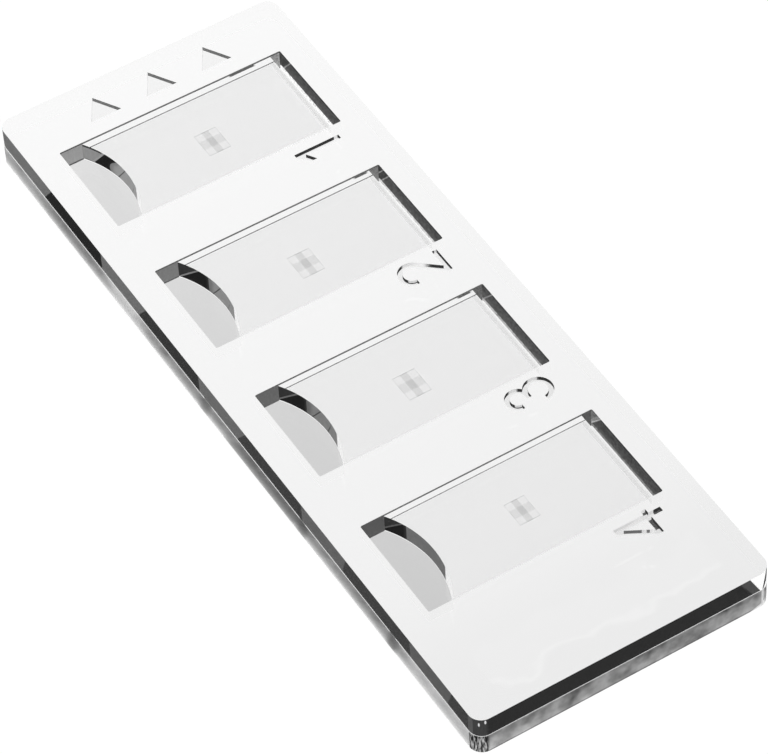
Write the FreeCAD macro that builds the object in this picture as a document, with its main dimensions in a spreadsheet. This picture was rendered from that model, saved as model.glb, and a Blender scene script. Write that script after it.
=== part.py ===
"""Cell counting slide with four loading chambers, moulded in clear acrylic as two bonded plates.

The frame has +X toward the end that the arrowheads point to, +Y toward the side with the
half-moon inlets and +Z up. The origin is the middle of the underside. Lengths are in millimetres.
"""
import FreeCAD, Part
import math
import os
import Sketcher

doc = FreeCAD.newDocument("cell_counting_slide")

# Driving sizes
sheet = doc.addObject("Spreadsheet::Sheet", "Sizes")
sheet.Label = "Sizes"
SIZES = {
    "slide_length": "75",
    "slide_width": "27",
    "plate_thickness": "2",
    "corner_radius": "1.2",
    "seam_step": "0.04",
    "window_count": "4",
    "window_pitch": "16",
    "window_width": "10",
    "window_length": "21.5",
    "first_window_x": "26.5",
    "recess_depth": "0.2",
    "inlet_strip": "2.15",
    "inlet_bulge": "1.5",
    "inlet_radius": "=(window_width * window_width / 4 + inlet_bulge * inlet_bulge) / (2 * inlet_bulge)",
    "vent_width": "0.95",
    "chamber_width": "9.4",
    "chamber_shift": "0.5",
    "chamber_depth": "0.1",
    "grid_x": "2.7",
    "grid_y": "2.1",
    "grid_shift": "-0.8",
    "ruling_width": "0.03",
    "ruling_depth": "0.02",
}
for row, (alias, text) in enumerate(SIZES.items(), start=1):
    sheet.set("A%d" % row, alias.replace("_", " "))
    sheet.set("B%d" % row, text)
    sheet.setAlias("B%d" % row, alias)
doc.recompute()


def size(alias):
    """The present value of one driving size."""
    return float(sheet.get(alias))


def origin_feature(body, role):
    """The datum plane or axis of a body that has the given role."""
    for feature in body.Origin.OriginFeatures:
        if feature.Role == role:
            return feature
    raise RuntimeError("no datum " + role)


def flat_sketch(body, name, x="0 mm", y="0 mm", z="0 mm"):
    """An empty sketch parallel to the underside, its own origin set by three expressions."""
    sketch = body.newObject("Sketcher::SketchObject", name)
    sketch.Label = name.replace("_", " ")
    sketch.AttachmentSupport = [(origin_feature(body, "XY_Plane"), "")]
    sketch.MapMode = "FlatFace"
    sketch.setExpression("AttachmentOffset.Base.x", x)
    sketch.setExpression("AttachmentOffset.Base.y", y)
    sketch.setExpression("AttachmentOffset.Base.z", z)
    return sketch


def rule(sketch, constraint, name, expression):
    """Add one named dimension to a sketch and drive it from the sheet."""
    index = sketch.addConstraint(constraint)
    sketch.renameConstraint(index, name)
    sketch.setExpression("Constraints." + name, expression)


def rectangle(sketch, tag, left, right, bottom, top):
    """A closed rectangle whose four sides are held by expressions from the sketch's origin.

    Each side is a pair of its present value and the expression that drives it.
    """
    corners = [
        FreeCAD.Vector(left[0], bottom[0], 0),
        FreeCAD.Vector(right[0], bottom[0], 0),
        FreeCAD.Vector(right[0], top[0], 0),
        FreeCAD.Vector(left[0], top[0], 0),
    ]
    first = sketch.GeometryCount
    for number in range(4):
        sketch.addGeometry(Part.LineSegment(corners[number], corners[(number + 1) % 4]), False)
    for number in range(4):
        follower = first + (number + 1) % 4
        sketch.addConstraint(Sketcher.Constraint("Coincident", first + number, 2, follower, 1))
    sketch.addConstraint(Sketcher.Constraint("Horizontal", first))
    sketch.addConstraint(Sketcher.Constraint("Vertical", first + 1))
    sketch.addConstraint(Sketcher.Constraint("Horizontal", first + 2))
    sketch.addConstraint(Sketcher.Constraint("Vertical", first + 3))
    rule(sketch, Sketcher.Constraint("DistanceX", -1, 1, first, 1, left[0]), tag + "_left", left[1])
    rule(sketch, Sketcher.Constraint("DistanceX", -1, 1, first + 1, 1, right[0]), tag + "_right", right[1])
    rule(sketch, Sketcher.Constraint("DistanceY", -1, 1, first, 1, bottom[0]), tag + "_bottom", bottom[1])
    rule(sketch, Sketcher.Constraint("DistanceY", -1, 1, first + 2, 1, top[0]), tag + "_top", top[1])


def upright_edges(feature):
    """Names of the straight edges that run along Z."""
    names = []
    for number, edge in enumerate(feature.Shape.Edges, start=1):
        start = edge.Vertexes[0].Point
        end = edge.Vertexes[-1].Point
        if abs(start.x - end.x) < 1e-6 and abs(start.y - end.y) < 1e-6 and abs(start.z - end.z) > 1e-6:
            names.append("Edge%d" % number)
    return names


def plate(label, inset):
    """A plate with rounded upright corners, drawn in on every side by the value of the inset expression."""
    body = doc.addObject("PartDesign::Body", label.title().replace("_", ""))
    body.Label = label
    margin = size("seam_step") if inset == "Sizes.seam_step" else 0.0
    half_length = size("slide_length") / 2 - margin
    half_width = size("slide_width") / 2 - margin
    outline = flat_sketch(body, label + "_outline")
    rectangle(
        outline,
        "outline",
        (-half_length, inset + " - Sizes.slide_length / 2"),
        (half_length, "Sizes.slide_length / 2 - " + inset),
        (-half_width, inset + " - Sizes.slide_width / 2"),
        (half_width, "Sizes.slide_width / 2 - " + inset),
    )
    pad = body.newObject("PartDesign::Pad", label + "_blank")
    pad.Profile = outline
    pad.setExpression("Length", "Sizes.plate_thickness")
    outline.Visibility = False
    doc.recompute()
    corners = body.newObject("PartDesign::Fillet", label + "_corners")
    corners.Base = (pad, upright_edges(pad))
    corners.setExpression("Radius", "Sizes.corner_radius - " + inset)
    doc.recompute()
    return body


def pocket(body, name, sketch, depth=None, upward=False):
    """Cut a sketch into its body, by an expression for the depth or right through."""
    cut = body.newObject("PartDesign::Pocket", name)
    cut.Label = name.replace("_", " ")
    cut.Profile = sketch
    cut.Reversed = upward
    if depth is None:
        cut.Type = "ThroughAll"
    else:
        cut.Type = "Length"
        cut.setExpression("Length", depth)
    sketch.Visibility = False
    doc.recompute()
    return cut


def repeat_along_slide(body, name, originals):
    """Repeat the first window's cuts at every window, at equal pitch away from the arrow end."""
    pattern = body.newObject("PartDesign::LinearPattern", name)
    pattern.Label = name.replace("_", " ")
    pattern.Originals = originals
    pattern.Direction = (origin_feature(body, "X_Axis"), [""])
    pattern.Reversed = True
    pattern.setExpression("Length", "Sizes.window_pitch * (Sizes.window_count - 1)")
    pattern.setExpression("Occurrences", "Sizes.window_count")
    body.Tip = pattern
    doc.recompute()
    return pattern


# Lower plate: the floor of every chamber, with the main rulings of a counting grid under each window
lower = plate("lower_plate", "0")
lower.setExpression("Placement.Base.z", "0 mm")

grid_x = size("grid_x")
grid_y = size("grid_y")
half_ruling = size("ruling_width") / 2

crosswise = flat_sketch(
    lower, "crosswise_rulings", "Sizes.first_window_x", "Sizes.grid_shift", "Sizes.plate_thickness"
)
lengthwise = flat_sketch(
    lower, "lengthwise_rulings", "Sizes.first_window_x", "Sizes.grid_shift", "Sizes.plate_thickness"
)
for line in range(4):
    share = line / 3 - 0.5
    rectangle(
        crosswise,
        "line%d" % line,
        (grid_x * share - half_ruling, "Sizes.grid_x * %.6f - Sizes.ruling_width / 2" % share),
        (grid_x * share + half_ruling, "Sizes.grid_x * %.6f + Sizes.ruling_width / 2" % share),
        (-grid_y / 2, "-Sizes.grid_y / 2"),
        (grid_y / 2, "Sizes.grid_y / 2"),
    )
    rectangle(
        lengthwise,
        "line%d" % line,
        (-grid_x / 2, "-Sizes.grid_x / 2"),
        (grid_x / 2, "Sizes.grid_x / 2"),
        (grid_y * share - half_ruling, "Sizes.grid_y * %.6f - Sizes.ruling_width / 2" % share),
        (grid_y * share + half_ruling, "Sizes.grid_y * %.6f + Sizes.ruling_width / 2" % share),
    )
across = pocket(lower, "rulings_across", crosswise, "Sizes.ruling_depth")
along = pocket(lower, "rulings_along", lengthwise, "Sizes.ruling_depth")
repeat_along_slide(lower, "grids", [across, along])

# Upper plate: windows with a sunk clear roof, a half-moon inlet at one end and a vent slot at the other
upper = plate("upper_plate", "Sizes.seam_step")
upper.setExpression("Placement.Base.z", "Sizes.plate_thickness")

half_window = size("window_width") / 2
window_end = size("window_length") / 2

roof = flat_sketch(upper, "roof_outline", "Sizes.first_window_x", "0 mm", "Sizes.plate_thickness")
rectangle(
    roof,
    "roof",
    (-half_window, "-Sizes.window_width / 2"),
    (half_window, "Sizes.window_width / 2"),
    (-window_end, "-Sizes.window_length / 2"),
    (window_end, "Sizes.window_length / 2"),
)
sunk_roof = pocket(upper, "sunk_roof", roof, "Sizes.recess_depth")

# The inlet is a strip across the window's end whose inner side bulges toward the chamber as an arc.
# Arc radius for a chord w and a bulge s is (w * w / 4 + s * s) / (2 * s).
inlet = flat_sketch(upper, "inlet_outline", "Sizes.first_window_x", "0 mm", "Sizes.plate_thickness")
strip_end = window_end - size("inlet_strip")
radius = size("inlet_radius")
centre_y = strip_end - size("inlet_bulge") + radius
swing = math.atan2(strip_end - centre_y, half_window)
far_top = FreeCAD.Vector(half_window, window_end, 0)
near_top = FreeCAD.Vector(-half_window, window_end, 0)
far_end = FreeCAD.Vector(half_window, strip_end, 0)
near_end = FreeCAD.Vector(-half_window, strip_end, 0)
circle = Part.Circle(FreeCAD.Vector(0, centre_y, 0), FreeCAD.Vector(0, 0, 1), radius)
inlet.addGeometry(Part.LineSegment(far_top, near_top), False)
inlet.addGeometry(Part.LineSegment(near_top, near_end), False)
inlet.addGeometry(Part.ArcOfCircle(circle, -math.pi - swing, swing), False)
inlet.addGeometry(Part.LineSegment(far_end, far_top), False)
inlet.addConstraint(Sketcher.Constraint("Coincident", 0, 2, 1, 1))
inlet.addConstraint(Sketcher.Constraint("Coincident", 1, 2, 2, 1))
inlet.addConstraint(Sketcher.Constraint("Coincident", 2, 2, 3, 1))
inlet.addConstraint(Sketcher.Constraint("Coincident", 3, 2, 0, 1))
inlet.addConstraint(Sketcher.Constraint("Vertical", 1))
inlet.addConstraint(Sketcher.Constraint("Vertical", 3))
inlet.addConstraint(Sketcher.Constraint("Symmetric", 0, 1, 0, 2, -2))
inlet.addConstraint(Sketcher.Constraint("PointOnObject", 2, 3, -2))
rule(inlet, Sketcher.Constraint("DistanceX", 0, 2, 0, 1, 2 * half_window), "chord", "Sizes.window_width")
rule(inlet, Sketcher.Constraint("DistanceY", -1, 1, 0, 1, window_end), "outer_end", "Sizes.window_length / 2")
rule(inlet, Sketcher.Constraint("DistanceY", 1, 2, 1, 1, size("inlet_strip")), "strip", "Sizes.inlet_strip")
rule(inlet, Sketcher.Constraint("Radius", 2, radius), "arc_radius", "Sizes.inlet_radius")
half_moon_inlet = pocket(upper, "half_moon_inlet", inlet)

vent = flat_sketch(upper, "vent_outline", "Sizes.first_window_x", "0 mm", "Sizes.plate_thickness")
rectangle(
    vent,
    "vent",
    (-half_window, "-Sizes.window_width / 2"),
    (half_window, "Sizes.window_width / 2"),
    (-window_end, "-Sizes.window_length / 2"),
    (size("vent_width") - window_end, "Sizes.vent_width - Sizes.window_length / 2"),
)
vent_slot = pocket(upper, "vent_slot", vent)

# The chamber is a thin gap moulded into the underside, open to the inlet and to the vent slot
chamber = flat_sketch(upper, "chamber_outline", "Sizes.first_window_x + Sizes.chamber_shift")
half_chamber = size("chamber_width") / 2
rectangle(
    chamber,
    "chamber",
    (-half_chamber, "-Sizes.chamber_width / 2"),
    (half_chamber, "Sizes.chamber_width / 2"),
    (size("vent_width") / 2 - window_end, "Sizes.vent_width / 2 - Sizes.window_length / 2"),
    (strip_end, "Sizes.window_length / 2 - Sizes.inlet_strip"),
)
metering_gap = pocket(upper, "metering_gap", chamber, "Sizes.chamber_depth", upward=True)
repeat_along_slide(upper, "windows", [sunk_roof, half_moon_inlet, vent_slot, metering_gap])

# Check every object, then write each plate in its assembled place
doc.recompute()
for item in doc.Objects:
    if "Invalid" in item.State or "Error" in item.State:
        raise RuntimeError("broken object " + item.Label)
os.makedirs("parts", exist_ok=True)
for node in (lower, upper):
    shape = node.Shape
    if shape.isNull() or not shape.isValid() or len(shape.Solids) != 1:
        raise RuntimeError("bad shape " + node.Label)
    shape.exportStep("parts/%s.step" % node.Label)
    box = shape.BoundBox
    print(node.Label, round(shape.Volume, 2), round(box.XLength, 3), round(box.YLength, 3), round(box.ZLength, 3))
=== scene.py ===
"""Looks of a clear cell counting slide: two bonded acrylic plates with four loading chambers.

The frame is the CAD one: +X toward the arrow end, +Y toward the half-moon inlets, +Z up, and the
origin in the middle of the underside. Shapes are worked out in millimetres and stored in metres.
"""

import math

import bpy
import numpy as np
from mathutils import Matrix, Vector
from mathutils.geometry import delaunay_2d_cdt


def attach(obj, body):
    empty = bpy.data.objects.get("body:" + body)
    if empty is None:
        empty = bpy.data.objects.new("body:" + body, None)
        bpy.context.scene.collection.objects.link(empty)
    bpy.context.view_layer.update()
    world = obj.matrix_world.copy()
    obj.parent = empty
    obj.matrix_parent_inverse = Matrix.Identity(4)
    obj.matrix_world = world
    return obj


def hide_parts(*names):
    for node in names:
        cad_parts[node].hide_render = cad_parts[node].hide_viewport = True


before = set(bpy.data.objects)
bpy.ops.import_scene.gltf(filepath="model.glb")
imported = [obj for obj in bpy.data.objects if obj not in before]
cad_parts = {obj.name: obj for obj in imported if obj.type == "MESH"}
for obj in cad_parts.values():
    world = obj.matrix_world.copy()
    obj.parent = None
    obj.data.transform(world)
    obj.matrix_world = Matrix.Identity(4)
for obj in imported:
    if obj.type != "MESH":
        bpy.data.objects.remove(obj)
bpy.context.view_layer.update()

# ---------------------------------------------------------------- sizes, in millimetres
HALF_LENGTH, HALF_WIDTH, CORNER, CORNER_STEPS = 37.5, 13.5, 1.2, 16
SEAM_LEVEL, TOP_LEVEL = 2.0, 4.0
# the upper plate stands back by the step, and the gap keeps the two bonded faces apart for the renderer
SEAM_STEP, SEAM_GAP = 0.04, 0.001
WINDOW_COUNT, PITCH, FAR_WINDOW_X = 4, 16.0, 26.5
ROW_LENGTH = PITCH * (WINDOW_COUNT - 1)
NEAR_WINDOW_X = FAR_WINDOW_X - ROW_LENGTH
WINDOW_X = np.linspace(FAR_WINDOW_X, NEAR_WINDOW_X, WINDOW_COUNT)
WINDOW_HALF_X, WINDOW_HALF_Y, WINDOW_CORNER = 5.0, 10.75, 0.12
ROOF_LEVEL, GAP_LEVEL = 3.8, 2.1
INLET_Y, INLET_BULGE, VENT_Y = 8.6, 1.5, -9.8
INLET_RADIUS = (WINDOW_HALF_X**2 + INLET_BULGE**2) / (2 * INLET_BULGE)
INLET_CENTRE_Y = INLET_Y - INLET_BULGE + INLET_RADIUS
CHAMBER_NEAR, CHAMBER_FAR = -4.2, 5.2
CHAMBER_END_Y = VENT_Y - 0.475
MARK_DEPTH, STROKE, NUMERAL_HALF = 0.38, 0.45, 2.15
# the four grids sit a little off one another's place, and the last one is smaller
GRID_HALF_X, GRID_HALF_Y = 1.35, 1.05
GRID_OFFSETS = np.array([[0.06, -1.12], [-0.13, -0.52], [0.0, -0.82], [0.3, -1.12]])
GRID_SCALES = np.array([1.0, 1.0, 1.0, 0.9])

# points and levels nearer than these count as one, and sides that meet at more than this angle stay sharp
SAME_POINT, SAME_LEVEL, SHARP_DEGREES = 1e-4, 1e-6, 25

# the plastic, and the share of an upright face's painted shade that also glows, painted light for what the plate
# carries there
PLASTIC_IOR, PAINTED_GLOW_SHARE = 1.49, 0.66

# the plates' material slots
CLEAR, BONDED, LANDING, EDGE, FOOT_EDGE, RULED, WALL, MARK, MARK_WALL, ROOF, LEDGE = range(11)


# ---------------------------------------------------------------- outlines
def rounded_rectangle(centre, half, radius, steps):
    """A closed loop: each corner's own centre plus radius times (cos, sin) of a quarter turn."""
    quarter = np.tile(np.linspace(0, np.pi / 2, steps + 1), 4)
    angle = quarter + np.repeat(np.arange(4) * np.pi / 2, steps + 1)
    sign = np.repeat([[1, 1], [-1, 1], [-1, -1], [1, -1]], steps + 1, axis=0)
    round_part = radius * np.stack([np.cos(angle), np.sin(angle)], 1)
    return np.asarray(centre) + sign * (np.asarray(half) - radius) + round_part


def arc(centre, radius, start, end, step=5.0):
    """Points on a circle: centre plus radius times (cos, sin) of evenly spread angles in degrees."""
    angle = np.radians(np.linspace(start, end, int(abs(end - start) / step) + 2))
    return np.asarray(centre) + radius * np.stack([np.cos(angle), np.sin(angle)], 1)


def arc_stroke(centre, radius, start, end):
    """A numeral's bent stroke: the arc half a stroke outside the circle, then back half a stroke inside."""
    outer, inner = radius + STROKE / 2, radius - STROKE / 2
    return np.concatenate([arc(centre, outer, start, end), arc(centre, inner, end, start)])


def box_stroke(left, right, bottom, top):
    """A rectangle as a loop of four corners."""
    return np.array([[left, bottom], [right, bottom], [right, top], [left, top]])


def bar_stroke(start, end):
    """A numeral's straight stroke: both ends moved half a stroke to each side, at right angles to it."""
    start, end = np.asarray(start, float), np.asarray(end, float)
    side = np.array([start[1] - end[1], end[0] - start[0]]) / np.linalg.norm(end - start) * STROKE / 2
    return np.array([start - side, end - side, end + side, start + side])


def plate_outline(step):
    """A plate's outline, moved inwards by the step."""
    return rounded_rectangle((0, 0), (HALF_LENGTH - step, HALF_WIDTH - step), CORNER - step, CORNER_STEPS)


def window_outline(window_x):
    """A window's outline, with its corners a little rounded."""
    return rounded_rectangle((window_x, 0), (WINDOW_HALF_X, WINDOW_HALF_Y), WINDOW_CORNER, 4)


def inlet_curve(window_x):
    """The half-moon's inner edge: a circular arc that bulges into the window, on a straight chord."""
    swing = math.degrees(math.asin(WINDOW_HALF_X / INLET_RADIUS))
    return arc((window_x, INLET_CENTRE_Y), INLET_RADIUS, -90 - swing, -90 + swing, step=1.5)


# each numeral is a few strokes round its own middle
NUMERAL_STROKES = [
    [
        box_stroke(0.35, 0.35 + STROKE, -NUMERAL_HALF, NUMERAL_HALF),
        np.array([[0.35, NUMERAL_HALF], [-0.55, 1.2], [-0.55, 0.72], [0.35, 1.28]]),
    ],
    [
        arc_stroke((0.08, 0.93), 1.0, 180, -41),
        bar_stroke((0.86, 0.3), (-1.01, -1.85)),
        box_stroke(-1.25, 1.25, -NUMERAL_HALF, STROKE - NUMERAL_HALF),
    ],
    [
        arc_stroke((0.08, 1.06), 0.87, -90, 180),
        arc_stroke((0.08, -0.87), 1.06, -175, 90),
        box_stroke(-0.25, 0.1, -0.035, STROKE - 0.035),
    ],
    [
        box_stroke(0.38, 0.38 + STROKE, -NUMERAL_HALF, 2.2),
        box_stroke(-1.35, 1.25, -0.62 - STROKE, -0.62),
        np.array([[0.38, 2.2], [0.38, 1.5], [-0.87, -0.62], [-1.35, -0.62]]),
    ],
]
NUMERAL_PLACES = np.array([[19.5, -7.6], [3.5, -7.5], [-12.5, -7.5], [-28.5, -7.5]])
ARROWHEAD = np.array([[33.15, -1.45], [35.6, 0.0], [33.15, 1.45]])
ARROW_Y = (5.3, -0.1, -5.5)

marks = [stroke + place for strokes, place in zip(NUMERAL_STROKES, NUMERAL_PLACES) for stroke in strokes]
marks += [ARROWHEAD + (0.0, y) for y in ARROW_Y]
grid_centres = np.stack([WINDOW_X, np.zeros(WINDOW_COUNT)], 1) + GRID_OFFSETS


# ---------------------------------------------------------------- one plan for both plates
def inside_loop(points, loop):
    """True where a line from the point toward +X crosses the loop an odd number of times."""
    a, b = loop, np.roll(loop, -1, axis=0)
    x, y = points[:, :1], points[:, 1:]
    spans = (a[:, 1] > y) != (b[:, 1] > y)
    run = np.where(b[:, 1] == a[:, 1], 1.0, b[:, 1] - a[:, 1])
    reach = a[:, 0] + (y - a[:, 1]) * (b[:, 0] - a[:, 0]) / run
    return (spans & (x < reach)).sum(1) % 2 == 1


def plan_of_slide():
    """Triangles that cover the outline and follow every edge drawn on it, as corners and index triples."""
    loops, chains = [plate_outline(0.0), plate_outline(SEAM_STEP)], []
    for x in WINDOW_X:
        loops.append(window_outline(x))
        chains.append(inlet_curve(x))
        chains.append(np.array([[x - WINDOW_HALF_X, VENT_Y], [x + WINDOW_HALF_X, VENT_Y]]))
        loops.append(box_stroke(x + CHAMBER_NEAR, x + CHAMBER_FAR, CHAMBER_END_Y, INLET_Y))
    loops += marks
    for (x, y), size in zip(grid_centres, GRID_SCALES):
        half_x, half_y = GRID_HALF_X * size, GRID_HALF_Y * size
        loops.append(box_stroke(x - half_x, x + half_x, y - half_y, y + half_y))
    points = np.concatenate(loops + chains)
    edges, start = [], 0
    for line, closed in [(loop, True) for loop in loops] + [(chain, False) for chain in chains]:
        index = np.arange(start, start + len(line))
        edges.append(np.stack([index, np.roll(index, -1)], 1)[: None if closed else -1])
        start += len(line)
    edges = np.concatenate(edges).tolist()
    corners, _, faces, *_ = delaunay_2d_cdt(points.tolist(), edges, [], 0, SAME_POINT)
    return np.array([tuple(c) for c in corners]), np.array(faces)


plan, cells = plan_of_slide()
middle = plan[cells].mean(axis=1)
middle_x, middle_y = middle.T
in_window, in_opening, in_inlet, in_chamber, in_grid = np.zeros((5, len(cells)), bool)
for x in WINDOW_X:
    from_x = middle_x - x
    window = inside_loop(middle, window_outline(x))
    # the half-moon is what lies past its chord or inside the circle of its curved edge
    half_moon = (middle_y > INLET_Y) | (np.hypot(from_x, middle_y - INLET_CENTRE_Y) < INLET_RADIUS)
    in_window |= window
    in_inlet |= window & half_moon
    in_opening |= window & (half_moon | (middle_y < VENT_Y))
    under_roof = (from_x > CHAMBER_NEAR) & (from_x < CHAMBER_FAR)
    in_chamber |= under_roof & (middle_y > CHAMBER_END_Y) & (middle_y < INLET_Y)
for (x, y), size in zip(grid_centres, GRID_SCALES):
    in_grid |= (abs(middle_x - x) < GRID_HALF_X * size) & (abs(middle_y - y) < GRID_HALF_Y * size)
in_mark = np.any([inside_loop(middle, loop) for loop in marks], axis=0)
in_step = ~inside_loop(middle, plate_outline(SEAM_STEP))


def solid_from_plan(name, bottom, top, levels, top_material, bottom_material, edge_material):
    """A closed solid over the plan, standing from bottom to top in each cell.

    Flat skins lie at each cell's bottom and top. Where two neighbours differ in a band between two
    levels, an upright wall closes that band.
    """
    levels = np.sort(np.asarray(levels, float))
    count = len(plan)
    place = np.repeat(plan[None], len(levels), axis=0)
    height = np.repeat(levels[:, None, None], count, axis=1)
    corners = np.concatenate([place, height], axis=2).reshape(-1, 3)
    filled = top - bottom > SAME_LEVEL

    def first_corner(skin):
        """Where the corners of each cell's level begin."""
        return np.argmin(abs(levels[None] - skin[:, None]), axis=1)[:, None] * count

    upper = (cells + first_corner(top))[filled]
    lower = (cells + first_corner(bottom))[filled][:, ::-1]

    # every side of a cell runs the other way round in its neighbour, which is how the two find each other
    start, end = cells.ravel(), np.roll(cells, -1, axis=1).ravel()
    owner = np.repeat(np.arange(len(cells)), 3)
    key, twin_key = start * count + end, end * count + start
    order = np.argsort(key)
    spot = np.minimum(np.searchsorted(key[order], twin_key), len(key) - 1)
    has_twin = key[order][spot] == twin_key
    neighbour = owner[order][spot]
    walls, wall_material = [], []
    for low in range(len(levels) - 1):
        solid = filled & (bottom <= levels[low] + SAME_LEVEL) & (top >= levels[low + 1] - SAME_LEVEL)
        open_side = solid[owner] & ~(has_twin & solid[neighbour])
        a, b, beside = start[open_side], end[open_side], neighbour[open_side]
        foot, head = low * count, (low + 1) * count
        walls.append(np.stack([a + foot, b + foot, b + head, a + head], 1))
        outside = (~has_twin | in_step[neighbour])[open_side]
        kinds = [outside, in_window[beside], in_mark[beside]]
        wall_material.append(np.select(kinds, [edge_material, WALL, MARK_WALL], CLEAR))
    walls = np.concatenate(walls)

    every_corner = np.concatenate([upper.ravel(), lower.ravel(), walls.ravel()])
    used, renumbered = np.unique(every_corner, return_inverse=True)
    split = [upper.size, upper.size + lower.size]
    faces = [part.reshape(-1, sides).tolist() for part, sides in zip(np.split(renumbered, split), (3, 3, 4))]
    mesh = bpy.data.meshes.new(name)
    mesh.from_pydata(corners[used] / 1000, [], sum(faces, []))
    material = np.concatenate([top_material[filled], bottom_material[filled], *wall_material])
    mesh.polygons.foreach_set("material_index", material.astype(np.int32))
    mesh.polygons.foreach_set("use_smooth", np.ones(len(material), bool))
    mesh.update()
    mesh.set_sharp_from_angle(angle=math.radians(SHARP_DEGREES))
    piece = bpy.data.objects.new(name, mesh)
    bpy.context.scene.collection.objects.link(piece)
    return piece


# ---------------------------------------------------------------- shader maths
class Wire:
    """A shader value. Arithmetic on it adds Math nodes to its tree."""

    def __init__(self, tree, socket):
        self.tree, self.socket = tree, socket

    def node(self, kind, settings=(), output=0, **inputs):
        """Adds a node: its settings first, then values or links for the sockets named by number or name."""
        made = self.tree.nodes.new(kind)
        for name, value in dict(settings).items():
            setattr(made, name, value)
        for name, value in inputs.items():
            socket = made.inputs[int(name[1:]) if name[1:].isdigit() else name.replace("_", " ")]
            if isinstance(value, Wire):
                self.tree.links.new(value.socket, socket)
            else:
                socket.default_value = value
        return Wire(self.tree, made.outputs[output] if made.outputs else None)

    def also(self, output):
        """Another output of the node that this value comes from."""
        return Wire(self.tree, self.socket.node.outputs[output])

    def object_place(self):
        """The three coordinates of the point on the piece, in millimetres."""
        x = self.node("ShaderNodeSeparateXYZ", Vector=self.node("ShaderNodeTexCoord").also("Object"))
        return x * 1000, x.also("Y") * 1000, x.also("Z") * 1000

    def grey(self, value):
        """A colour with the same value in all three channels."""
        return self.node("ShaderNodeCombineColor", Red=value, Green=value, Blue=value)

    def noise(self, x, y, z, scale, detail):
        """Soft noise about 0.5 at a place."""
        place = self.node("ShaderNodeCombineXYZ", X=x, Y=y, Z=z)
        return self.node("ShaderNodeTexNoise", Vector=place, Scale=scale, Detail=detail)

    def smooth(self, value, low, high):
        """Zero at low and one at high, eased in between; high may be below low."""
        eased = {"interpolation_type": "SMOOTHSTEP"}
        return self.node("ShaderNodeMapRange", eased, Value=value, From_Min=low, From_Max=high)

    def within(self, value, half):
        """One where the value is nearer to zero than half, else zero."""
        return abs(value) < half

    def patch(self, value, outer, inner):
        """One where the value is nearer to zero than inner, easing to zero at outer."""
        return self.smooth(abs(value), outer, inner)

    def blend(self, other, share):
        """This value where the share is zero, the other one where it is one."""
        return self + (other - self) * share

    def at_least(self, other):
        """The larger of the two values."""
        return self.maths("MAXIMUM", self, other)

    def at_most(self, other):
        """The smaller of the two values."""
        return self.maths("MINIMUM", self, other)

    def maths(self, operation, *values):
        """A Math node on one or two values."""
        return self.node("ShaderNodeMath", {"operation": operation}, **{f"i{k}": v for k, v in enumerate(values)})

    def __abs__(self):
        return self.maths("ABSOLUTE", self)

    def __add__(self, other):
        return self.maths("ADD", self, other)

    def __sub__(self, other):
        return self.maths("SUBTRACT", self, other)

    def __rsub__(self, other):
        return self.maths("SUBTRACT", other, self)

    def __mul__(self, other):
        return self.maths("MULTIPLY", self, other)

    def __truediv__(self, other):
        return self.maths("DIVIDE", self, other)

    def __pow__(self, other):
        return self.maths("POWER", self, other)

    def __lt__(self, other):
        return self.maths("LESS_THAN", self, other)

    def __gt__(self, other):
        return self.maths("GREATER_THAN", self, other)

    __radd__, __rmul__ = __add__, __mul__


def new_material(name):
    """An empty material and a Wire to start its nodes from."""
    material = bpy.data.materials.new(name)
    material.use_nodes = True
    material.node_tree.nodes.clear()
    return material, Wire(material.node_tree, None)


def finish_material(start, surface):
    """Joins the last shader to the material's output."""
    start.node("ShaderNodeOutputMaterial", Surface=surface)


def clear_shader(start, tint=(1, 1, 1, 1), alpha=1.0):
    """Clear plastic that bends light; the tint darkens what is seen through it."""
    return start.node(
        "ShaderNodeBsdfPrincipled",
        Base_Color=tint,
        Roughness=0.0,
        IOR=PLASTIC_IOR,
        Alpha=alpha,
        Transmission_Weight=1.0,
    )


def clear_material(name, tint=None, alpha=1.0):
    """Clear plastic alone; the tint is worked out from the place in millimetres."""
    material, start = new_material(name)
    colour = (1, 1, 1, 1) if tint is None else start.grey(tint(start, *start.object_place()))
    finish_material(start, clear_shader(start, colour, alpha))
    return material


def upright_material(name, shade, roughness, shine, inside_shade_share=None):
    """An upright face: clear where it is seen from inside, and from outside a polished face in painted shade.

    The painted shade, with its painted highlights, stands for light bent and totally reflected inside the
    plate. Part of it glows, as painted light for what the plate carries to this face from the floor. The
    inside shade share is the part of the face whose painted shade shows from inside too.
    """
    material, start = new_material(name)
    x, y, z = start.object_place()
    depth = TOP_LEVEL - z
    # the painted shade and highlights of the face, worked out from the place; the same colour glows below
    colour = start.grey(shade(start, x, y, depth))
    face = start.node(
        "ShaderNodeBsdfPrincipled",
        Base_Color=colour,
        Roughness=roughness,
        IOR=PLASTIC_IOR,
        Specular_IOR_Level=shine,
        Emission_Color=colour,
        Emission_Strength=PAINTED_GLOW_SHARE,
    )
    inside = start.node("ShaderNodeNewGeometry").also("Backfacing")
    if inside_shade_share is not None:
        inside = inside * (1.0 - inside_shade_share(start, x, y, depth))
    finish_material(start, start.node("ShaderNodeMixShader", i0=inside, i1=face, i2=clear_shader(start)))
    return material


# ---------------------------------------------------------------- tints of the clear faces
# A tint takes the place in millimetres; a shade takes the depth below the top face in place of z.
def window_place(start, x):
    """Distance along the slide from the nearest window's middle, and that window's place up the row, 0 to 1."""
    across = start.maths("WRAP", x - FAR_WINDOW_X, PITCH / 2, -PITCH / 2)
    return across, ((x - across - NEAR_WINDOW_X) / ROW_LENGTH).at_least(0.0)


def landing_painted_shade(start, x, y, z):
    """Painted shade on the floor of a half-moon inlet, a little darker toward the near end."""
    return 0.524 + 0.0021 * x


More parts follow.
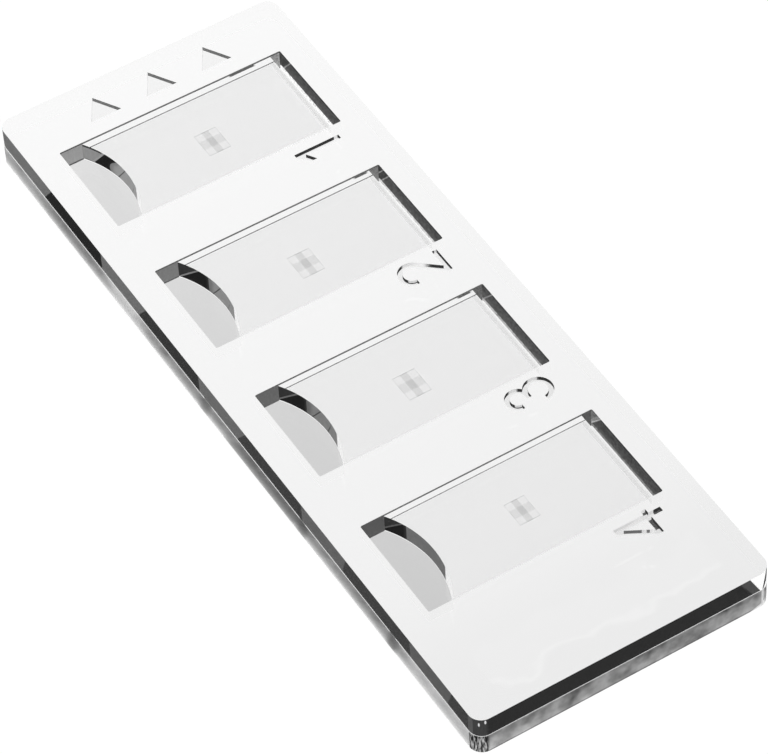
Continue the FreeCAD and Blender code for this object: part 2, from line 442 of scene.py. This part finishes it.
def ruled_tint(start, x, y, z):
    """Three by three small squares, darkest in the middle, with fine lines round them."""
    grid_x, grid_y, scale = 0.0, 0.0, 0.0
    places = zip(grid_centres.tolist(), WINDOW_X.tolist(), GRID_SCALES.tolist())
    for (centre_x, centre_y), window_x, size in places:
        here = start.within(x - window_x, PITCH / 2)
        grid_x, grid_y, scale = grid_x + here * centre_x, grid_y + here * centre_y, scale + here * size
    across = abs((x - grid_x) / scale / GRID_HALF_X)
    along = abs((y - grid_y) / scale / GRID_HALF_Y)
    row, column = start.smooth(along, 0.37, 0.24), start.smooth(across, 0.41, 0.26)
    line = (across > 0.945) + (along > 0.95) * 0.55 + start.within(across - 0.35, 0.03) * 0.25
    return 0.95 - row * 0.27 - column * 0.19 - line.at_most(1.0) * 0.32


def roof_painted_shade(start, x, y, z):
    """A window's sunk roof: clear, with painted shade a little darker up the row and a short patch of painted
    shade by the vent end of its far edge.
    """
    across, far = window_place(start, x)
    first = far > 0.9
    # the patch of painted shade by the vent end of the far edge
    mark = start.smooth(abs(y + 8.95 - 2.0 * first) - 0.6 * first, 0.8, 0.5)
    mark = mark * start.smooth(across, 4.8, 4.86) * (far > 0.1)
    return (1.0 - 0.065 * far) * (1.0 - 0.985 * mark)


def mark_tint(start, x, y, z):
    """The floor of a sunk mark, duller than the polished face and a little darker toward the near end, with three
    patches of painted shade in the last numeral.
    """
    # the three patches of painted shade
    in_bar = start.within(y + 8.345, 0.23)
    dark = start.within(x + 28.66, 0.54) * in_bar + start.within(x + 27.35, 0.14) * in_bar
    dark = dark + start.within(x + 27.9, 0.24) * start.within(y + 9.35, 0.3)
    return (0.80 + 0.0025 * x) * (1.0 - 0.985 * dark)


def ledge_painted_shade(start, x, y, z):
    """The narrow ledge where the lower plate stands proud: a fine bright line, broken at three places by painted
    shade.
    """
    gaps = 0.0
    # the breaks are painted shade
    for gap_x, half in ((2.5, 0.6), (-12.15, 0.45), (-25.5, 0.45)):
        gaps = gaps + start.patch(x - gap_x, half + 0.15, half - 0.15) * (y > 0.0)
    return 1.0 - 0.93 * gaps


# ---------------------------------------------------------------- shades of the upright faces: painted light and shade
# these stand for light bent and totally reflected inside the plates, and from other sides they stay as they are
def inlet_shade(start, across, far, depth):
    """The inlet's curved wall in painted light and shade, from its near end: pale, grey with two fine lines, then
    black up to a slant.
    """
    near = 1.0 - far
    first, not_last = start.smooth(far, 0.75, 1.0), far > 0.1
    second_line = start.within(across - near * 1.05 - depth * 0.45 + 1.58, 0.06)
    fine = start.within(across - near * 0.75 - depth * 0.7 - 0.17, 0.06)
    fine = fine + second_line * (0.45 * (depth > 0.9) + 0.4 * (near > 0.5))
    above = (1.45 - depth).at_most(1.3)
    black_from = 2.02 + 1.18 * near * near + first * (0.48 - 0.65 * above * above)
    grey = (0.16 + 0.15 * far) * (1.0 - 0.7 * fine * not_last)
    grey = grey * (1.0 - 0.35 * start.smooth(across - black_from, -0.8, -0.1) * not_last)
    shade = grey.blend(0.85, start.smooth(across, -1.75, -1.95))
    shade = shade.blend(0.035 - 0.015 * first, across > black_from)
    shade = shade.blend(0.016, start.smooth(across - black_from, 0.05, 0.35))
    # painted: a slanting line in the end wall's tone, where that wall shows through; past it the wall is painted
    # dark, or mid grey in the first window
    slant = across - 2.85 - 0.5 * near - 0.05 * first - depth * (1.03 - 0.33 * first)
    rims = rim_lines(start, far, depth)
    shade = shade.blend((0.037 + 0.235 * first) * (1.0 - 0.7 * rims * first), slant > 0.0)
    shade = shade.blend(end_wall_shade(start, far, depth), start.within(slant, 0.1))
    return shade.blend(0.05, first * (depth < 0.42) * (across > 3.3))


def vent_shade(start, across, far, depth):
    """The vent's wall along the slide in painted shade: dark, with a paler foot and slanting painted highlights
    at the far end.
    """
    near, last = 1.0 - far, far < 0.2
    corner = across - 3.2 - depth * 0.8 - near * 0.48
    past_corner = corner > 0.0
    shade = 0.08 + (far > 0.1) * (0.017 - 0.01 * far) + 0.012 * start.smooth(depth, 1.0, 1.4)
    shade = (shade * (1.0 - 0.35 * (depth < 0.25))).blend(0.062, past_corner * (far > 0.5))
    shade = shade + (past_corner * 0.1 + start.within(corner - 0.2, 0.22) * 0.09) * last
    second = start.within(far - 0.667, 0.1)
    shade = shade + (start.within(corner, 0.07) + start.within(corner - 0.85, 0.06) * second) * 0.2
    return shade.blend(0.22 + 0.63 * far, start.smooth(depth, 1.6, 1.7))


def rim_lines(start, far, depth):
    """One along the top and the foot of an opening's wall, where lines of painted shade run, stronger up the row.
    """
    return (depth < 0.17).at_least(depth > 1.83) * start.smooth(far, 0.2, 1.0)


def end_wall_shade(start, far, depth):
    """The painted shade of the walls that run across the slide in the openings, paler up the row and darker along
    their rims.
    """
    return (0.108 + 0.1 * far + 0.115 * far**3.0) * (1.0 - 0.7 * rim_lines(start, far, depth))


def opening_shade(start, x, y, depth):
    """The painted light and shade of the windows' upright walls, from the inlets to the vents, with a fine grain.
    """
    across, far = window_place(start, x)
    by_vent = y < 0.0
    wall = inlet_shade(start, across, far, depth).blend(vent_shade(start, across, far, depth), by_vent)
    above_roof = start.within(y + 0.6, 9.2)
    end_wall = end_wall_shade(start, far, depth).blend(0.16, above_roof)
    wall = wall.blend(end_wall, abs(across) > WINDOW_HALF_X - 0.015)
    grain = start.noise(x, y, depth, scale=6.0, detail=1.0)
    return wall * (1.0 + (grain - 0.5) * (0.45 + 1.4 * by_vent))


def vent_inside_shade_share(start, x, y, depth):
    """How much of a vent wall's lower part shows its painted shade from inside the plate, a grey band of painted
    reflection.
    """
    across, _ = window_place(start, x)
    return 0.1 * (y < 0.0) * (depth > 0.7) * start.within(across, WINDOW_HALF_X - 0.15)


def mark_shade(start, x, y, depth):
    """The walls of a sunk mark in painted shade: dark, with painted highlights where they face the near end of
    the slide and at a few places.
    """
    facing = start.node("ShaderNodeNewGeometry").also("True Normal")
    to_near_end = (-0.986, 0.165, 0.0)
    turned = start.node("ShaderNodeVectorMath", {"operation": "DOT_PRODUCT"}, "Value", i0=facing, i1=to_near_end)
    in_last = x < -25.0
    # the painted highlight on the open ends of the two round numerals comes sooner, and the foot of their wall
    # stays in painted shade
    tail = (y > -7.1) * (start.within(x - 2.6, 0.6) + start.within(x + 13.4, 0.6))
    pale = start.smooth(turned + 0.25 * tail, 0.92, 0.97) * (x < 14.0) * (1.0 - tail * (depth > 0.26))
    # painted shade at the end of the last numeral's stem, and on half the end of the second one's foot
    pale = pale * (1.0 - (y < -9.05) * in_last)
    pale = pale * (1.0 - start.within(y + 9.3, 0.12) * start.within(x - 4.75, 0.05))
    # also painted highlights: two short stretches of the last numeral, the first one's foot, the second one's
    # slanting neck, and the left slanting side of each arrowhead
    last_parts = start.within(y + 7.7, 0.5) * in_last * (1.0 - start.within(y + 7.63, 0.11))
    first_foot = start.within(y + 9.49, 0.17) * start.within(x - 20.0, 1.0)
    second_neck = start.smooth(y, -8.45, -7.85) * (y < -7.05) * start.within(x - 3.5, 2.0)
    arrow_side = (start.node("ShaderNodeSeparateXYZ", Vector=facing).also("Y") < -0.5) * (x > 30.0)
    for stretch in (last_parts, first_foot, second_neck, arrow_side):
        pale = pale.at_least(stretch)
    return (0.04 + 0.12 * start.smooth(x, 25.0, 30.0)).blend(0.72, pale)


def upper_long_side(start, x, depth):
    """Painted light and shade along the slide: the bars between windows carry light to the edge, and the windows
    hide it.
    """
    across, far = window_place(start, x)
    near = 1.0 - far
    last = start.smooth(near, 0.7, 1.0)
    lit_from = 1.5 + near * 0.6 + last * 0.65 + 0.75 * (x < -30.0) + depth * (0.77 - 0.44 * last)
    hidden = start.smooth(across - near * 0.28, -6.85, -6.75) * start.smooth(across - lit_from, 0.06, -0.06)
    bar_tone = 0.128 + 0.0006 * x + 0.0005 * x.at_most(0.0)
    return bar_tone.blend(0.042 - 0.038 * far * far, hidden * start.within(x + 1.125, 35.125))


def upper_short_side(start, x, y, depth):
    """The short side in painted shade: nearly black, with a grey band and a wedge painted white, as light, by its
    right-hand corner.
    """
    at_near_end = x < 0.0
    shade = 0.022 + 0.045 * start.smooth(y + 10.45 + depth * 0.6, 0.1, -0.1)
    shade = shade.blend(1.0, start.smooth(y + 11.35 + depth * 0.5, 0.03, -0.03) * at_near_end)
    shade = shade.blend(0.06, start.within(y + 13.4 - depth * 0.39, 0.42 - depth * 0.17))
    shade = shade.blend(0.045, start.smooth(y, 12.35, 12.65))
    # two small painted glints where the left-hand corner turns
    for glint_y, glint_depth, narrow in ((13.075, 0.6, 4.5), (12.646, 0.33, 3.0)):
        offset = start.node("ShaderNodeCombineXYZ", X=(y - glint_y) * narrow, Y=depth - glint_depth)
        away = start.node("ShaderNodeVectorMath", {"operation": "LENGTH"}, "Value", Vector=offset)
        shade = shade.blend(0.8, start.smooth(away, 0.3, 0.1) * at_near_end)
    return shade


def upper_shade(start, x, y, depth):
    """The upper plate's outer edge, in painted light and shade."""
    short_side = upper_short_side(start, x, y, depth)
    return upper_long_side(start, x, depth).blend(short_side, start.smooth(abs(x), 36.7, 36.8))


def lower_long_side(start, x, depth, fall, cloud):
    """Painted light and shade along the slide: pale by both ends and behind the first bar, and dim in the middle.
    """
    bright = 0.07 * start.smooth(x, 27.0, 29.0) + 0.09 * start.smooth(x, 33.5, 35.5)
    bright = bright + 0.34 * start.patch(x - 16.0, 4.3, 1.3) + 0.24 * start.patch(x + 32.5, 6.5, 3.5)
    dim = 0.4 * start.patch(x + 10.36 - depth * 1.3, 6.0, 4.5) + 0.12 * start.patch(x - 25.0, 5.5, 4.0)
    # three leaning patches of painted shade, darker still
    for painted_dim_patch_x, strength in ((1.65, 0.4), (-13.45, 0.5), (-26.85, 0.6)):
        painted_dim_patch = start.patch(x - depth * 0.45 - painted_dim_patch_x, 1.1, 0.2)
        dim = dim + painted_dim_patch * (0.9 - dim) * strength
    shade = 0.25 + 0.5 * fall**2.6 + cloud * 0.35 * (1.0 - fall)
    return shade * (1.0 - dim) + bright * (1.0 - 0.8 * fall)


def lower_short_side(start, x, y, depth, fall, cloud):
    """The short side in painted light and shade: cloudy, with pale patches at its right-hand foot and streaks
    where the corners turn.
    """
    shade = 0.16 + 0.0004 * y * y + (0.17 + 0.006 * y) * fall + cloud * 0.6
    # a thin painted shadow along the foot, then pale painted light at the right-hand foot
    shade = shade * (1.0 - 0.6 * (depth > 3.86))
    shade = shade.blend(0.75, start.smooth(depth - 0.35 * y - 7.905, 0.0, 0.2) * (y < -11.3))
    # painted streaks of light and shade where the corners turn
    streaks = start.noise(x, y, depth * 0.12, scale=9.0, detail=2.0)
    streaks = start.smooth(streaks, 0.46, 0.62) * 0.45 + 0.012 + 0.12 * (y < 0.0)
    shade = shade.blend(streaks, start.smooth(abs(y + 0.2), 12.5, 12.8))
    # a pale painted strip of light by the right-hand corner
    return shade.blend(0.6, start.within(y + 12.58, 0.12))


def lower_shade(start, x, y, depth):
    """The lower plate's outer edge in painted light and shade: lighter toward the foot, with soft cloudy patches
    that lean.
    """
    fall = ((depth - 2.2) / 1.8).at_least(0.0)
    cloud = start.noise(x - depth * 0.9, y, depth * 0.4, scale=0.7, detail=2.0) - 0.5
    long_side = lower_long_side(start, x, depth, fall, cloud)
    short_side = lower_short_side(start, x, y, depth, fall, cloud)
    return long_side.blend(short_side, start.smooth(abs(x), 36.3, 36.5))


# ---------------------------------------------------------------- the two plates
# in the order of the material slots
materials = (
    clear_material("clear_acrylic"),
    clear_material("bonded_face", alpha=0.0),
    clear_material("inlet_landing", landing_painted_shade),
    upright_material("upper_edge", upper_shade, roughness=0.08, shine=0.5),
    upright_material("lower_edge", lower_shade, roughness=0.3, shine=0.5),
    clear_material("ruled_patch", ruled_tint),
    upright_material("opening_wall", opening_shade, roughness=0.3, shine=0.0, inside_shade_share=vent_inside_shade_share),
    clear_material("mark_floor", mark_tint),
    upright_material("mark_wall", mark_shade, roughness=0.3, shine=0.0),
    clear_material("window_roof", roof_painted_shade),
    clear_material("seam_ledge", ledge_painted_shade),
)

mark_level, lower_top = TOP_LEVEL - MARK_DEPTH, SEAM_LEVEL - SEAM_GAP
upper_top = np.where(in_window, ROOF_LEVEL, np.where(in_mark, mark_level, TOP_LEVEL))
upper_bottom = np.where(in_chamber, GAP_LEVEL, SEAM_LEVEL)
upper_top = np.where(in_opening | in_step, upper_bottom, upper_top)
contact = ~in_opening & ~in_chamber
upper_plate = solid_from_plan(
    "upper_plate_moulding",
    upper_bottom,
    upper_top,
    [SEAM_LEVEL, GAP_LEVEL, mark_level, ROOF_LEVEL, TOP_LEVEL],
    np.select([in_mark, in_window], [MARK, ROOF], CLEAR),
    np.where(contact, BONDED, CLEAR),
    EDGE,
)
lower_plate = solid_from_plan(
    "lower_plate_moulding",
    np.zeros(len(cells)),
    np.full(len(cells), lower_top),
    [0.0, lower_top],
    np.select([in_step, contact, in_inlet, in_grid], [LEDGE, BONDED, LANDING, RULED], CLEAR),
    np.full(len(cells), CLEAR),
    FOOT_EDGE,
)
for piece, node in ((upper_plate, "upper_plate"), (lower_plate, "lower_plate")):
    for material in materials:
        piece.data.materials.append(material)
    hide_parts(node)
    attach(piece, "root")

# ---------------------------------------------------------------- the floor, with a bright card under the slide
FLOOR_HALF, FLOOR_LEVEL = 3.0, -3e-5
# the card's tone is painted shade, darker toward the near end of the slide
CARD_MARGIN, CARD_NEAR_TONE, CARD_FAR_TONE = 0.05, 0.93, 1.045
# what the plates see round the card, what the camera sees, and the share of it that takes a shadow
SURROUND_TONE, BACKDROP_TONE, SHADOW_SHARE = 0.07, 1.06, 0.08

floor_mesh = bpy.data.meshes.new("floor")
floor_corners = box_stroke(-FLOOR_HALF, FLOOR_HALF, -FLOOR_HALF, FLOOR_HALF).tolist()
floor_mesh.from_pydata([(x, y, FLOOR_LEVEL) for x, y in floor_corners], [], [(0, 1, 2, 3)])
floor = bpy.data.objects.new("floor", floor_mesh)
bpy.context.scene.collection.objects.link(floor)
white_floor, start = new_material("white_floor")
x, y, z = start.object_place()
path = start.node("ShaderNodeLightPath")
direct = path.also("Is Camera Ray")
bent = path.also("Is Glossy Ray").at_least(path.also("Is Transmission Ray"))
card = start.node(
    "ShaderNodeMapRange",
    Value=x,
    From_Min=-HALF_LENGTH,
    From_Max=HALF_LENGTH,
    To_Min=CARD_NEAR_TONE,
    To_Max=CARD_FAR_TONE,
)
# painted caustic light: a faint pale ripple on the card near the near end
wobble = (start.noise(x, y, z, scale=0.2, detail=2.0) - 0.5) * 6.0
rim = start.patch(x + wobble + 33.5, 0.5, 0.0)
pool = start.smooth(x + wobble, -33.8, -33.3) * start.smooth(x - wobble, -29.5, -30.5)
painted_caustic = (rim * 0.03 + pool * 0.012) * start.within(y + 1.0, 10.5)
# more painted shade on the card toward the near end, plus the painted caustic light
card = card - 0.03 * start.smooth(x, -22.0, -32.0) + painted_caustic
under = start.within(x, HALF_LENGTH + CARD_MARGIN) * start.within(y, HALF_WIDTH + CARD_MARGIN)
shown = direct * BACKDROP_TONE + bent * (under * card + (1.0 - under) * SURROUND_TONE)
diffuse = start.node("ShaderNodeBsdfDiffuse", Color=(0.8, 0.8, 0.8, 1))
glow = start.node("ShaderNodeEmission", Color=(1, 1, 1, 1), Strength=shown)
glowing = direct.at_least(bent) * (1.0 - SHADOW_SHARE) + bent * SHADOW_SHARE
finish_material(start, start.node("ShaderNodeMixShader", i0=glowing, i1=diffuse, i2=glow))
floor_mesh.materials.append(white_floor)

# ---------------------------------------------------------------- a round soft light overhead
SKY_TONE, LAMP_TONE = 0.05, 3.0
LAMP_RIM, LAMP_FULL = 0.80, 0.95

world = bpy.data.worlds.new("studio")
world.use_nodes = True
world.node_tree.nodes.clear()
bpy.context.scene.world = world
start = Wire(world.node_tree, None)
height = start.node("ShaderNodeSeparateXYZ", Vector=start.node("ShaderNodeTexCoord")).also("Z")
lamp = start.smooth(height, LAMP_RIM, LAMP_FULL) * (LAMP_TONE - SKY_TONE) + SKY_TONE
strength = start.node("ShaderNodeLightPath").also("Is Camera Ray").at_least(lamp)
background = start.node("ShaderNodeBackground", Color=(1, 1, 1, 1), Strength=strength)
start.node("ShaderNodeOutputWorld", Surface=background)

# ---------------------------------------------------------------- the camera, from one fit to the photo
PICTURE_WIDTH, FOCAL_LENGTH, SHIFT_RIGHT, SHIFT_UP = 768, 4411.27, -0.65, 0.6  # in pixels
CAMERA_PLACE = Vector((-0.204605, 0.113106, 0.270297))
LOOKS_ALONG, LOOKS_UP = Vector((0.56917, -0.31867, -0.75795)), Vector((0.63121, -0.42138, 0.65116))
BOUNCES_THROUGH, BOUNCES_OFF, BOUNCES_BONDED = 24, 4, 48

lens = bpy.data.cameras.new("photo_view")
lens.sensor_width = 36.0
lens.lens = FOCAL_LENGTH / PICTURE_WIDTH * lens.sensor_width
lens.shift_x, lens.shift_y = SHIFT_RIGHT / PICTURE_WIDTH, SHIFT_UP / PICTURE_WIDTH
lens.clip_start, lens.clip_end = 0.01, 10.0
camera = bpy.data.objects.new("photo_view", lens)
bpy.context.scene.collection.objects.link(camera)
forward = LOOKS_ALONG.normalized()
right = forward.cross(LOOKS_UP.normalized()).normalized()
turn = Matrix((right, right.cross(forward), -forward)).transposed().to_4x4()
camera.matrix_world = Matrix.Translation(CAMERA_PLACE) @ turn
scene = bpy.context.scene
scene.camera = camera
scene.view_settings.view_transform = "Standard"
scene.cycles.max_bounces = BOUNCES_THROUGH
scene.cycles.transmission_bounces = BOUNCES_THROUGH
scene.cycles.glossy_bounces = BOUNCES_OFF
scene.cycles.transparent_max_bounces = BOUNCES_BONDED
